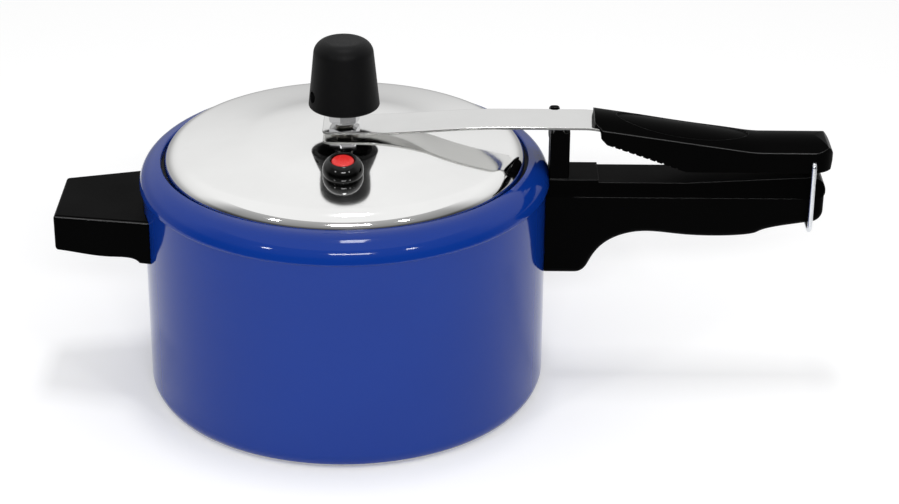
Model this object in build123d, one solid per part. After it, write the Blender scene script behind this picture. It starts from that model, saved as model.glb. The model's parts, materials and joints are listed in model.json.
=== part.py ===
from build123d import *
import math
import os

# Stovetop pressure cooker with an oval lid that closes from inside. Millimetres, +Z up.
# The origin is the centre of the pot's underside, and +X runs along the long handle.

# Fits
RUNNING = 0.3        # between pieces that move past each other
SEATED = 0.1         # between pieces that are fixed together
PIVOT = 0.15         # round a wire pivot

# Pot
POT_RADIUS = 110.0
POT_HEIGHT = 134.7   # top of the rim
POT_WALL = 2.2
POT_FLOOR = 3.0
POT_CORNER = 9.0     # outside radius between floor and wall
RIM_ROUND = 12.5     # outside radius of the rounded rim
RIM_OUT = 1.8        # rim beyond the wall
RIM_STEP = 1.2       # height of the sloping step under the rim
RIM_STEP_ROUND = 0.6
RIM_THICK = 4.3      # height of the mouth's edge
RIM_INSIDE = 5.0     # inside radius between wall and rim
MOUTH_MARGIN = 10.2  # wall to mouth along the handles
MOUTH_OVAL = 4.0     # how much smaller the mouth's half width is across the handles
MOUTH_ROUND = 1.2    # radius of the mouth's upper edge
MOUTH_EDGE = 1.1     # height over which that edge is rounded
HANDLE_DROP = 2.4    # level that the handles are measured from, below the rim's top

# Lid
LID_GAP = 1.8        # lid wall to mouth
LID_SHEET = 2.4
LID_EDGE_RISE = 7.8  # rolled edge above the pot's rim
LID_EDGE_ROUND = 6.5
LID_CROWN = 6.1      # middle of the lid above the rolled edge
FLANGE_REACH = 3.8   # flange beyond the mouth
FLANGE_SHEET = 2.2
GASKET_HEIGHT = 4.0
GASKET_INSET = 0.4

# Vent pipe and strap seat
PIPE_RADIUS = 4.5
PIPE_BORE = 1.5
PIPE_HEAD_RADIUS = 8.5
PIPE_HEAD_HEIGHT = 4.0
PIPE_SEAL = 1.5
PIPE_TIP = 1.5       # chamfer at the top of the pipe
PIPE_REACH = 6.0     # pipe above the rim of the weight
CONE_SLOPE = 0.2     # slope of the faces the strap rocks between
PIPE_NUT_RADIUS = 10.0
STRAP_SEAT = 2.7     # strap above the lid
NUT_FLATS = 15.0     # hexagon nut, across flats
NUT_CHAMFER = 1.6
NUT_TURN = 18.0      # degrees the hexagon is turned
NUT_ROOM = 1.5       # weight rim above the nut

# Lever strap
STRAP_THICK = 2.0
STRAP_HALF_WIDTH = 13.2
STRAP_END = 11.5     # strap past the pipe
STRAP_STEP = 3.8     # strap climbs this far beside the pipe
STRAP_STEP_START = 9.5
STRAP_STEP_LENGTH = 8.0
STRAP_BEND_OUT = 22.0     # bend beyond the pot wall
STRAP_SLOPE = 8.4         # degrees the tail falls
STRAP_TAIL = 76.0
STRAP_TAIL_HALF_WIDTH = 9.0
STRAP_CORNER = 4.0

# Fulcrum post
FULCRUM_OUT = 5.7    # fulcrum beyond the pot wall
RIB_RADIUS = 3.5
POST_LENGTH = 12.5
POST_ROUND = 1.5
POST_DROP = 2.0     # shoulders of the post below the rib's top
EAR_LENGTH = 6.0
EAR_THICK = 3.0
EAR_BACK = 1.5       # middle of the ear from the fulcrum, towards the pot
EAR_RISE = 0.8       # ear above the strap
EAR_ROOT = 14.0      # height of the ear's foot below the strap

# Long handle, measured from the pot wall and from the handles' level
GRIP_HALF_WIDTH = 13.5
GRIP_TOP_HALF_WIDTH = 11.0
GRIP_FOOT_HALF_WIDTH = 11.5
GRIP_RIDGE = -16.0
GRIP_TOP = -7.5
GRIP_SHELF = -6.2
GRIP_SHELF_END = 28.0
GRIP_END_TOP = -3.5
GRIP_FOOT = -63.5
GRIP_FOOT_LENGTH = 16.0
GRIP_REACH = 151.0
GRIP_UNDERSIDE = [(25.0, -55.5), (32.0, -45.8), (47.5, -38.6), (76.0, -39.8), (115.0, -38.3), (135.0, -32.8)]
GRIP_NOSE_LOW = -30.2
GRIP_NOSE_ROUND = 7.0
GRIP_BELLY_ROUND = 4.5

# Upper handle
UPPER_HALF_WIDTH = 15.0
UPPER_CROWN = 5.2         # rise of the crowned top across its width
UPPER_OVER_STRAP = 5.0    # crown above the strap
UPPER_START_OUT = 25.0    # front end beyond the pot wall
UPPER_KNEE_OUT = 112.0    # where the sloping top turns level
UPPER_KNEE_ROUND = 70.0
UPPER_REACH = 155.0
UPPER_FRONT_DEPTH = 11.5
UPPER_FRONT_LIP = 3.3     # top of the front end beyond its lower half
UPPER_UNDER_OUT = 75.0    # where the sloping underside turns level
UPPER_SKIRT = 0.0         # underside of the skirt, from the handles' level
UPPER_END_DROP = 11.0     # radius of the end seen from the side
UPPER_END_LEAN = 1.5
UPPER_END_ROUND = 12.0    # radius of the end seen from above
UPPER_SIDE_ROUND = 1.0
UPPER_FRONT_CUT = 4.0
PANEL_LENGTH = 72.0
PANEL_HALF_WIDTH = 12.0
PANEL_DEPTH = 0.8
PANEL_START_OUT = 37.0
RIB_PITCH = 3.8           # finger ribs under the upper handle
RIB_DEPTH = 0.6

# Wire bail
WIRE_RADIUS = 1.35
BAIL_OUT = 143.4          # pivot beyond the pot wall
BAIL_PIVOT = 5.4          # pivot above the handles' level
BAIL_DROP = 39.6          # pivot to cross bar
BAIL_PIN_INSIDE = 0.25    # inside radius of the bend at a pin
BAIL_BEND = 4.0
BAIL_PIN = 6.0            # wire inside the handle

# Short handle, measured from the pot wall and from the handles' level
HELPER_REACH = 47.0
HELPER_END_HALF_WIDTH = 25.6
HELPER_ROOT_HALF_WIDTH = 35.5
HELPER_END_TOP = -23.9
HELPER_ROOT_TOP = -22.5
HELPER_THICK = 20.0
HELPER_ROOT_THICK = 24.5
HELPER_BELLY = 1.0        # underside below a level line, a third of the way out
HELPER_FLARE = 1.5        # slope of the underside at the pot
HELPER_ROUND = 2.0

# Handle brackets
BRACKET_SHEET = 2.2
TONGUE_HALF_WIDTH = 8.0
TONGUE_THICK = 4.0
MAIN_PLATE_HALF_WIDTH = 9.5
MAIN_PLATE_TOP = -16.0
MAIN_PLATE_FOOT = -54.0
MAIN_TONGUE_LENGTH = 30.0
MAIN_TONGUE_LEVEL = -33.0
MAIN_SCREWS = (9.0, 22.0)
HELPER_PLATE_HALF_WIDTH = 22.0
HELPER_PLATE_TOP = -27.5
HELPER_PLATE_FOOT = -42.5
HELPER_TONGUE_LENGTH = 30.0
HELPER_TONGUE_LEVEL = -34.0
HELPER_SCREW = 22.0
HELPER_RIVET_SPREAD = 15.0
RIVET_RADIUS = 2.5
RIVET_HEAD_RADIUS = 4.5
RIVET_HEAD = 1.4
RIVET_INSET = 8.0         # rivets from the ends of the long handle's plate

# Screws
SCREW_RADIUS = 2.0
SCREW_HEAD_RADIUS = 4.0
SCREW_HEAD = 2.4
SCREW_BEARING = 5.0       # handle material between screw head and metal
SCREW_BITE = 2.5          # screw past the metal
SCREW_SLOT = 1.0
UPPER_SCREWS = (44.0, 84.0)

# Weight
WEIGHT_RADIUS = 19.3
WEIGHT_TOP_RADIUS = 15.5
WEIGHT_HEIGHT = 37.3
WEIGHT_OVER_STRAP = 10.5  # rim above the strap's seat
WEIGHT_TOP_ROUND = 7.5
WEIGHT_RIM_ROUND = 1.2
SKIRT_WALL = 3.6
SKIRT_DEPTH = 12.0
CORE_RADIUS = 12.0
CORE_HEIGHT = 19.0
NEEDLE_RADIUS = 4.0
NEEDLE_SOCKET = 6.0
VENT_RADIUS = 3.3
VENT_LEVEL = 7.5          # vent holes above the rim
VENT_TURN = 25.0          # degrees the cross drilling is turned

# Safety valve
SAFETY_OUT = 51.7         # valve from the middle of the lid
SAFETY_SIDE = 1.4         # valve towards the long handle
SEAT_RADIUS = 9.9
PLUG_FOOT_RADIUS = 9.0
PLUG_RADIUS = 10.85
PLUG_WAIST = 4.2          # height of the widest part
PLUG_HEIGHT = 9.6
PLUG_RIM = 1.0            # flat rim round the button's recess
PLUG_NECK_RADIUS = 6.0
PLUG_LOWER_RADIUS = 9.0
PLUG_LOWER_HEIGHT = 3.0
PLUG_LOWER_TIP = 7.5
BUTTON_RADIUS = 5.6
BUTTON_HEIGHT = 2.2
BUTTON_CROWN = 0.7
BUTTON_STEM = 2.0
BUTTON_TRAVEL = 4.0
CLIP_RADIUS = 3.6
CLIP_THICK = 1.0
STEM_TIP = 1.2            # stem past the clip

# Worked-out places
POT_BORE = POT_RADIUS - POT_WALL
MOUTH_LONG = POT_RADIUS - MOUTH_MARGIN
MOUTH_SHORT = MOUTH_LONG - MOUTH_OVAL
RIM_RADIUS = POT_RADIUS + RIM_OUT
RIM_BASE = POT_HEIGHT - RIM_ROUND
RIM_FOOT = RIM_BASE - RIM_STEP
RIM_UNDER = POT_HEIGHT - RIM_THICK
HANDLE_LEVEL = POT_HEIGHT - HANDLE_DROP
LID_WALL = MOUTH_LONG - LID_GAP
LID_EDGE = POT_HEIGHT + LID_EDGE_RISE
LID_TOP = LID_EDGE + LID_CROWN
LID_UNDER = LID_TOP - LID_SHEET
PIPE_SEAT = LID_UNDER - SEATED
GASKET_TOP = RIM_UNDER - RUNNING
FLANGE_TOP = GASKET_TOP - GASKET_HEIGHT
FLANGE_RADIUS = MOUTH_LONG + FLANGE_REACH
SEAT_BOTTOM = LID_TOP + STRAP_SEAT
SEAT_TOP = SEAT_BOTTOM + STRAP_THICK
STRAP_BOTTOM = SEAT_BOTTOM + STRAP_STEP
STRAP_TOP = STRAP_BOTTOM + STRAP_THICK
STRAP_BEND = POT_RADIUS + STRAP_BEND_OUT
FULCRUM_X = POT_RADIUS + FULCRUM_OUT
FULCRUM_Z = STRAP_BOTTOM - RUNNING - RIB_RADIUS
WEIGHT_RIM = SEAT_TOP + WEIGHT_OVER_STRAP
PIPE_TOP = WEIGHT_RIM + PIPE_REACH
SAFETY_SHARE = SAFETY_OUT * MOUTH_LONG / MOUTH_SHORT / LID_WALL
SEAT_LEVEL = LID_TOP - LID_CROWN * SAFETY_SHARE**2
SLOPE = math.tan(math.radians(STRAP_SLOPE))


def turned(*corners):
    """Solid turned about the vertical axis from (radius, height) corners."""
    return revolve(Plane.XZ * make_face(Polyline(*corners, close=True)), Axis.Z)


def tube(outer, inner, bottom, top):
    """Upright tube between two heights."""
    return turned((inner, bottom), (outer, bottom), (outer, top), (inner, top))


def rod(radius, bottom, top):
    """Upright round bar between two heights."""
    return Pos(0, 0, bottom) * Cylinder(radius, top - bottom, align=(Align.CENTER, Align.CENTER, Align.MIN))


def block(x_low, x_high, y_low, y_high, z_low, z_high):
    """Box between two corners."""
    box = Box(x_high - x_low, y_high - y_low, z_high - z_low, align=(Align.MIN, Align.MIN, Align.MIN))
    return Pos(x_low, y_low, z_low) * box


def ring_edge(solid, radius, height):
    """Circular edge of a turned solid at this radius and height."""
    circles = solid.edges().filter_by(GeomType.CIRCLE)
    return min(circles, key=lambda e: abs(e.radius - radius) + abs(e.arc_center.Z - height))


def oval(solid):
    """Round solid drawn in across the handles to the shape of the mouth."""
    return scale(solid, by=(1, MOUTH_SHORT / MOUTH_LONG, 1))


def side_plate(outline, half_width):
    """Outline in X and Z given thickness both ways across the handles."""
    return extrude(Plane.XZ * outline, half_width, both=True)


def crossbar(x, z, radius, y_low, y_high):
    """Round bar across the handles."""
    bar = Cylinder(radius, y_high - y_low, rotation=(90, 0, 0), align=(Align.CENTER, Align.CENTER, Align.MAX))
    return Pos(x, y_low, z) * bar


def strap_level(x):
    """Height of the strap's underside beyond its bend."""
    return STRAP_BOTTOM - (x - STRAP_BEND) * SLOPE


def make_rivet(turn, z):
    """Rivet through the pot wall and a bracket, turned this many degrees from +X."""
    inside = math.sqrt(POT_BORE**2 - RIVET_HEAD_RADIUS**2)
    grip = POT_RADIUS + BRACKET_SHEET - inside
    head = rod(RIVET_HEAD_RADIUS, 0, RIVET_HEAD)
    head = fillet(ring_edge(head, RIVET_HEAD_RADIUS, RIVET_HEAD), RIVET_HEAD / 2)
    rivet = rod(RIVET_RADIUS, 0, grip) + Pos(0, 0, grip) * head + Rot(180, 0, 0) * head
    return Rot(0, 0, turn) * Pos(inside, 0, z) * Rot(0, 90, 0) * rivet


def rivet_hole(turn, z):
    """Hole for a rivet's shank, through wall and bracket."""
    hole = Cylinder(RIVET_RADIUS + SEATED, 4 * RIVET_HEAD_RADIUS, rotation=(0, 90, 0))
    return Rot(0, 0, turn) * Pos(POT_RADIUS, 0, z) * hole


def make_bracket(half_width, top, foot, tongue_length, tongue_level):
    """Curved plate on the wall with a flat tongue, on the +X side."""
    sheet = tube(POT_RADIUS + BRACKET_SHEET, POT_RADIUS, foot, top)
    plate = sheet & block(0, 2 * POT_RADIUS, -half_width, half_width, foot, top)
    half = TONGUE_THICK / 2
    tongue = block(POT_RADIUS + BRACKET_SHEET / 2, POT_RADIUS + tongue_length,
                   -TONGUE_HALF_WIDTH, TONGUE_HALF_WIDTH, tongue_level - half, tongue_level + half)
    return plate + tongue


def bracket_room(half_width, top, foot, tongue_length, tongue_level):
    """Pocket in a handle for its bracket and the rivet heads, on the +X side."""
    plate = block(0, POT_RADIUS + BRACKET_SHEET + RIVET_HEAD + SEATED,
                  -half_width - SEATED, half_width + SEATED, foot - SEATED, top + SEATED)
    half = TONGUE_THICK / 2 + SEATED
    tongue = block(0, POT_RADIUS + tongue_length + SEATED, -TONGUE_HALF_WIDTH - SEATED,
                   TONGUE_HALF_WIDTH + SEATED, tongue_level - half, tongue_level + half)
    return plate + tongue


def make_screw(x, bearing, tip):
    """Screw from below, whose head bears upwards at one height and whose tip ends at another."""
    head = rod(SCREW_HEAD_RADIUS, bearing - SCREW_HEAD, bearing)
    slot = block(-SCREW_HEAD_RADIUS, SCREW_HEAD_RADIUS, -SCREW_SLOT / 2, SCREW_SLOT / 2,
                 bearing - SCREW_HEAD, bearing - SCREW_HEAD / 2)
    return Pos(x, 0, 0) * (head + rod(SCREW_RADIUS, bearing, tip) - slot)


def screw_room(x, bearing, tip, depth):
    """Counterbore from below and hole for a screw."""
    counterbore = rod(SCREW_HEAD_RADIUS + SEATED, bearing - depth, bearing)
    hole = rod(SCREW_RADIUS + SEATED, bearing, tip + SEATED)
    return Pos(x, 0, 0) * (counterbore + hole)


# Heights that the brackets and screws share
MAIN_PLATE = (MAIN_PLATE_HALF_WIDTH, HANDLE_LEVEL + MAIN_PLATE_TOP, HANDLE_LEVEL + MAIN_PLATE_FOOT,
              MAIN_TONGUE_LENGTH, HANDLE_LEVEL + MAIN_TONGUE_LEVEL)
HELPER_PLATE = (HELPER_PLATE_HALF_WIDTH, HANDLE_LEVEL + HELPER_PLATE_TOP, HANDLE_LEVEL + HELPER_PLATE_FOOT,
                HELPER_TONGUE_LENGTH, HANDLE_LEVEL + HELPER_TONGUE_LEVEL)
MAIN_RIVETS = [(0, MAIN_PLATE[1] - RIVET_INSET), (0, MAIN_PLATE[2] + RIVET_INSET)]
HELPER_RIVET_LEVEL = (HELPER_PLATE[1] + HELPER_PLATE[2]) / 2
HELPER_RIVET_TURN = math.degrees(math.asin(HELPER_RIVET_SPREAD / POT_RADIUS))
HELPER_RIVETS = [(-HELPER_RIVET_TURN, HELPER_RIVET_LEVEL), (HELPER_RIVET_TURN, HELPER_RIVET_LEVEL)]
MAIN_BEARING = MAIN_PLATE[4] - TONGUE_THICK / 2 - SCREW_BEARING
MAIN_SCREW_TIP = MAIN_PLATE[4] + TONGUE_THICK / 2 + SCREW_BITE
HELPER_BEARING = HELPER_PLATE[4] - TONGUE_THICK / 2 - SCREW_BEARING
HELPER_SCREW_TIP = HELPER_PLATE[4] + TONGUE_THICK / 2 + SCREW_BITE


def mouth_room():
    """Round form of the mouth, widening at its upper edge."""
    turn = MOUTH_ROUND * math.sqrt(0.5)
    low = POT_HEIGHT - MOUTH_EDGE
    floor = POT_FLOOR + POT_CORNER
    wide = MOUTH_LONG + MOUTH_ROUND
    high = POT_HEIGHT + RIM_THICK
    edge = ThreePointArc((MOUTH_LONG, low), (wide - turn, low + turn), (wide, low + MOUTH_ROUND))
    rest = Polyline((wide, low + MOUTH_ROUND), (wide, high), (0, high), (0, floor), (MOUTH_LONG, floor),
                    (MOUTH_LONG, low))
    return revolve(Plane.XZ * make_face([edge, *rest.edges()]), Axis.Z)


def make_pot_shell():
    """Pot with a rounded rim that stands a little proud of the wall, and an oval mouth."""
    half_way = RIM_ROUND * math.sqrt(0.5)
    centre = RIM_RADIUS - RIM_ROUND
    rim = ThreePointArc((RIM_RADIUS, RIM_BASE), (centre + half_way, RIM_BASE + half_way), (centre, POT_HEIGHT))
    rest = Polyline((centre, POT_HEIGHT), (0, POT_HEIGHT), (0, 0), (POT_RADIUS, 0), (POT_RADIUS, RIM_FOOT),
                    (RIM_RADIUS, RIM_BASE))
    outer = revolve(Plane.XZ * make_face([rim, *rest.edges()]), Axis.Z)
    outer = fillet(ring_edge(outer, POT_RADIUS, 0), POT_CORNER)
    step_edges = [ring_edge(outer, POT_RADIUS, RIM_FOOT), ring_edge(outer, RIM_RADIUS, RIM_BASE)]
    outer = fillet(step_edges, RIM_STEP_ROUND)
    inner = turned((0, POT_FLOOR), (POT_BORE, POT_FLOOR), (POT_BORE, RIM_UNDER), (0, RIM_UNDER))
    inner = fillet(ring_edge(inner, POT_BORE, POT_FLOOR), POT_CORNER - POT_WALL)
    inner = fillet(ring_edge(inner, POT_BORE, RIM_UNDER), RIM_INSIDE)
    shell = outer - inner - oval(mouth_room())
    for turn, z in MAIN_RIVETS:
        shell -= rivet_hole(turn, z)
    for turn, z in HELPER_RIVETS:
        shell -= Rot(0, 0, 180) * rivet_hole(turn, z)
    return shell


def make_lid_shell():
    """Domed oval lid with a rolled edge and a flange under the pot's rim."""
    inner_wall = LID_WALL - LID_SHEET
    foot = FLANGE_TOP - FLANGE_SHEET
    dome = ThreePointArc((-LID_WALL, LID_EDGE), (0, LID_TOP), (LID_WALL, LID_EDGE))
    half_dome = dome.trim(0.5, 1)
    sides = Polyline((LID_WALL, LID_EDGE), (LID_WALL, FLANGE_TOP), (FLANGE_RADIUS, FLANGE_TOP),
                     (FLANGE_RADIUS, foot), (0, foot), (0, LID_TOP))
    solid = revolve(Plane.XZ * make_face([half_dome, *sides.edges()]), Axis.Z)
    solid = fillet(ring_edge(solid, LID_WALL, LID_EDGE), LID_EDGE_ROUND)
    hollow_dome = ThreePointArc((-inner_wall, LID_EDGE - LID_SHEET), (0, LID_UNDER),
                                (inner_wall, LID_EDGE - LID_SHEET))
    hollow_sides = Polyline((inner_wall, LID_EDGE - LID_SHEET), (inner_wall, foot), (0, foot), (0, LID_UNDER))
    hollow = revolve(Plane.XZ * make_face([hollow_dome.trim(0.5, 1), *hollow_sides.edges()]), Axis.Z)
    hollow = fillet(ring_edge(hollow, inner_wall, LID_EDGE - LID_SHEET), LID_EDGE_ROUND - LID_SHEET)
    shell = oval(solid) - oval(hollow)
    seat = at_safety_valve(rod(SEAT_RADIUS, -LID_SHEET, 0))
    above = at_safety_valve(rod(SEAT_RADIUS, 0, LID_SHEET))
    below = at_safety_valve(rod(SEAT_RADIUS, -2 * LID_SHEET, -LID_SHEET))
    plug_hole = at_safety_valve(rod(PLUG_NECK_RADIUS + SEATED, -2 * LID_SHEET, LID_SHEET))
    pipe_hole = rod(PIPE_RADIUS + SEATED, foot, LID_TOP + LID_SHEET)
    return shell + seat - above - below - plug_hole - pipe_hole


def make_lid_gasket():
    """Rubber ring that lies on the lid's flange."""
    ring = tube(FLANGE_RADIUS - GASKET_INSET, LID_WALL + SEATED, FLANGE_TOP, GASKET_TOP)
    return oval(ring)


def make_vent_pipe():
    """Steam pipe with its head inside the lid."""
    seal_foot = PIPE_SEAT - PIPE_SEAL
    head_foot = seal_foot - PIPE_HEAD_HEIGHT
    return turned((PIPE_BORE, head_foot), (PIPE_HEAD_RADIUS, head_foot), (PIPE_HEAD_RADIUS, seal_foot),
                  (PIPE_RADIUS, seal_foot), (PIPE_RADIUS, PIPE_TOP - PIPE_TIP),
                  (PIPE_RADIUS - PIPE_TIP, PIPE_TOP), (PIPE_BORE, PIPE_TOP))


def make_vent_pipe_seal():
    """Washer between the pipe's head and the lid."""
    return tube(PIPE_HEAD_RADIUS, PIPE_RADIUS + SEATED, PIPE_SEAT - PIPE_SEAL, PIPE_SEAT)


def make_vent_pipe_nut():
    """Low nut on the lid, with a cone on which the strap rocks."""
    bore = PIPE_RADIUS + SEATED
    return turned((bore, LID_TOP), (PIPE_NUT_RADIUS, LID_TOP),
                  (PIPE_NUT_RADIUS, SEAT_BOTTOM - SEATED - CONE_SLOPE * PIPE_NUT_RADIUS),
                  (bore, SEAT_BOTTOM - SEATED - CONE_SLOPE * bore))


def make_strap_nut():
    """Hexagon nut over the strap, with a hollow cone under which the strap rocks."""
    top = WEIGHT_RIM - NUT_ROOM
    corner = NUT_FLATS / math.sqrt(3)
    prism = Pos(0, 0, SEAT_TOP) * extrude(RegularPolygon(corner, 6, rotation=NUT_TURN), top - SEAT_TOP)
    rounding = turned((0, SEAT_TOP), (corner - NUT_CHAMFER / 2, SEAT_TOP), (corner, SEAT_TOP + 2 * NUT_CHAMFER),
                      (corner, top - NUT_CHAMFER / 2), (corner - NUT_CHAMFER, top), (0, top))
    relief = turned((0, SEAT_TOP - 1), (corner, SEAT_TOP - 1), (corner, SEAT_TOP + SEATED + CONE_SLOPE * corner),
                    (0, SEAT_TOP + SEATED))
    return (prism & rounding) - relief - rod(PIPE_RADIUS + SEATED, SEAT_TOP - 1, top)


def strap_side(clearance):
    """Side of the strap as a flat outline, grown by a clearance above and below."""
    tail_end = STRAP_BEND + STRAP_TAIL * math.cos(math.radians(STRAP_SLOPE))
    line = [(-STRAP_END, SEAT_BOTTOM), (STRAP_STEP_START, SEAT_BOTTOM),
            (STRAP_STEP_START + STRAP_STEP_LENGTH, STRAP_BOTTOM), (STRAP_BEND, STRAP_BOTTOM),
            (tail_end + clearance, strap_level(tail_end + clearance))]
    under = [(x, z - clearance) for x, z in line]
    over = [(x, z + STRAP_THICK + clearance) for x, z in reversed(line)]
    return make_face(Polyline(*under, *over, close=True))


def make_lever_strap():
    """Flat strap from the vent pipe over the fulcrum into the upper handle."""
    strap = side_plate(strap_side(0), STRAP_HALF_WIDTH)
    corners = strap.edges().filter_by(Axis.Y, reverse=True).filter_by(Axis.Z).group_by(Axis.X)[0]
    strap = fillet(corners, STRAP_CORNER)
    tail_start = POT_RADIUS + UPPER_START_OUT + UPPER_FRONT_CUT
    tail_end = STRAP_BEND + STRAP_TAIL
    for low, high in ((-STRAP_HALF_WIDTH, -STRAP_TAIL_HALF_WIDTH), (STRAP_TAIL_HALF_WIDTH, STRAP_HALF_WIDTH)):
        strap -= block(tail_start, tail_end, low, high, 0, STRAP_TOP + STRAP_THICK)
    strap -= rod(PIPE_RADIUS + 2 * RUNNING, LID_TOP, STRAP_TOP)
    for out in UPPER_SCREWS:
        strap -= Pos(POT_RADIUS + out, 0, 0) * rod(SCREW_RADIUS + SEATED, POT_HEIGHT, STRAP_TOP)
    return strap


def grip_outline():
    """Side of the long handle, with its foot on the pot and its nose at the end."""
    foot = HANDLE_LEVEL + GRIP_FOOT
    under = [(POT_RADIUS + u, HANDLE_LEVEL + v) for u, v in GRIP_UNDERSIDE]
    heel = (POT_RADIUS + GRIP_FOOT_LENGTH, foot)
    nose = POT_RADIUS + GRIP_REACH
    nose_low = (nose, HANDLE_LEVEL + GRIP_NOSE_LOW)
    nose_top = (nose, HANDLE_LEVEL + GRIP_END_TOP)
    middle = (POT_RADIUS + UPPER_UNDER_OUT, HANDLE_LEVEL + GRIP_TOP)
    shelf = POT_RADIUS + GRIP_SHELF_END
    start = POT_RADIUS / 2
    lead_out = (nose - under[-1][0], nose_low[1] - under[-1][1])
    belly = Spline(heel, *under, tangents=[(1, 0), lead_out])
    rest = Polyline(under[-1], nose_low, nose_top, middle, (shelf, HANDLE_LEVEL + GRIP_TOP),
                    (shelf, HANDLE_LEVEL + GRIP_SHELF), (start, HANDLE_LEVEL + GRIP_SHELF), (start, foot), heel)
    outline = make_face([belly, *rest.edges()])
    return fillet(outline.vertices().group_by(Axis.X)[-1], GRIP_NOSE_ROUND)


def grip_section():
    """Cross-section of the long handle, widest at the ridge along its side."""
    foot = HANDLE_LEVEL + GRIP_FOOT
    ridge = HANDLE_LEVEL + GRIP_RIDGE
    half = [(GRIP_FOOT_HALF_WIDTH, foot), (GRIP_HALF_WIDTH, ridge), (GRIP_TOP_HALF_WIDTH, HANDLE_LEVEL)]
    other = [(-y, z) for y, z in reversed(half)]
    return make_face(Polyline(*half, *other, close=True))


def make_main_handle():
    """Long handle with the fulcrum post, its round rib and its stop ear."""
    side = side_plate(grip_outline(), GRIP_HALF_WIDTH)
    section = extrude(Plane.YZ * grip_section(), POT_RADIUS + GRIP_REACH)
    grip = side & section
    ridge = HANDLE_LEVEL + GRIP_RIDGE
    sides = [e for e in grip.edges() if abs(e.center().Y) > GRIP_TOP_HALF_WIDTH / 2]
    belly = [e for e in sides if e.center().X > POT_RADIUS and e.center().Z < ridge - GRIP_BELLY_ROUND]
    grip = fillet(belly, GRIP_BELLY_ROUND)
    post_low = FULCRUM_X - POST_LENGTH / 2
    post_top = FULCRUM_Z + RIB_RADIUS - POST_DROP
    post = block(post_low, post_low + POST_LENGTH, -GRIP_TOP_HALF_WIDTH, GRIP_TOP_HALF_WIDTH, ridge, post_top)
    post = fillet(post.edges().filter_by(Axis.Z), POST_ROUND)
    rib = crossbar(FULCRUM_X, FULCRUM_Z, RIB_RADIUS, -GRIP_TOP_HALF_WIDTH, GRIP_TOP_HALF_WIDTH)
    ear_start = STRAP_HALF_WIDTH + RUNNING
    ear_low = FULCRUM_X - EAR_BACK - EAR_LENGTH / 2
    ear = block(ear_low, ear_low + EAR_LENGTH, ear_start, ear_start + EAR_THICK,
                STRAP_BOTTOM - EAR_ROOT, STRAP_TOP + EAR_RISE)
    ear = fillet(ear.edges().filter_by(Axis.Y).group_by(Axis.Z)[-1], EAR_LENGTH / 3)
    root = block(ear_low, ear_low + EAR_LENGTH, 0, ear_start + EAR_THICK,
                 STRAP_BOTTOM - EAR_ROOT, post_top - RIB_RADIUS)
    handle = grip + post + rib + ear + root
    handle -= rod(POT_RADIUS + SEATED, 0, RIM_BASE)
    handle -= rod(RIM_RADIUS + SEATED, RIM_FOOT - SEATED, STRAP_TOP + EAR_ROOT)
    handle -= bracket_room(*MAIN_PLATE)
    for out in MAIN_SCREWS:
        handle -= screw_room(POT_RADIUS + out, MAIN_BEARING, MAIN_SCREW_TIP, -GRIP_FOOT)
    return handle


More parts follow.
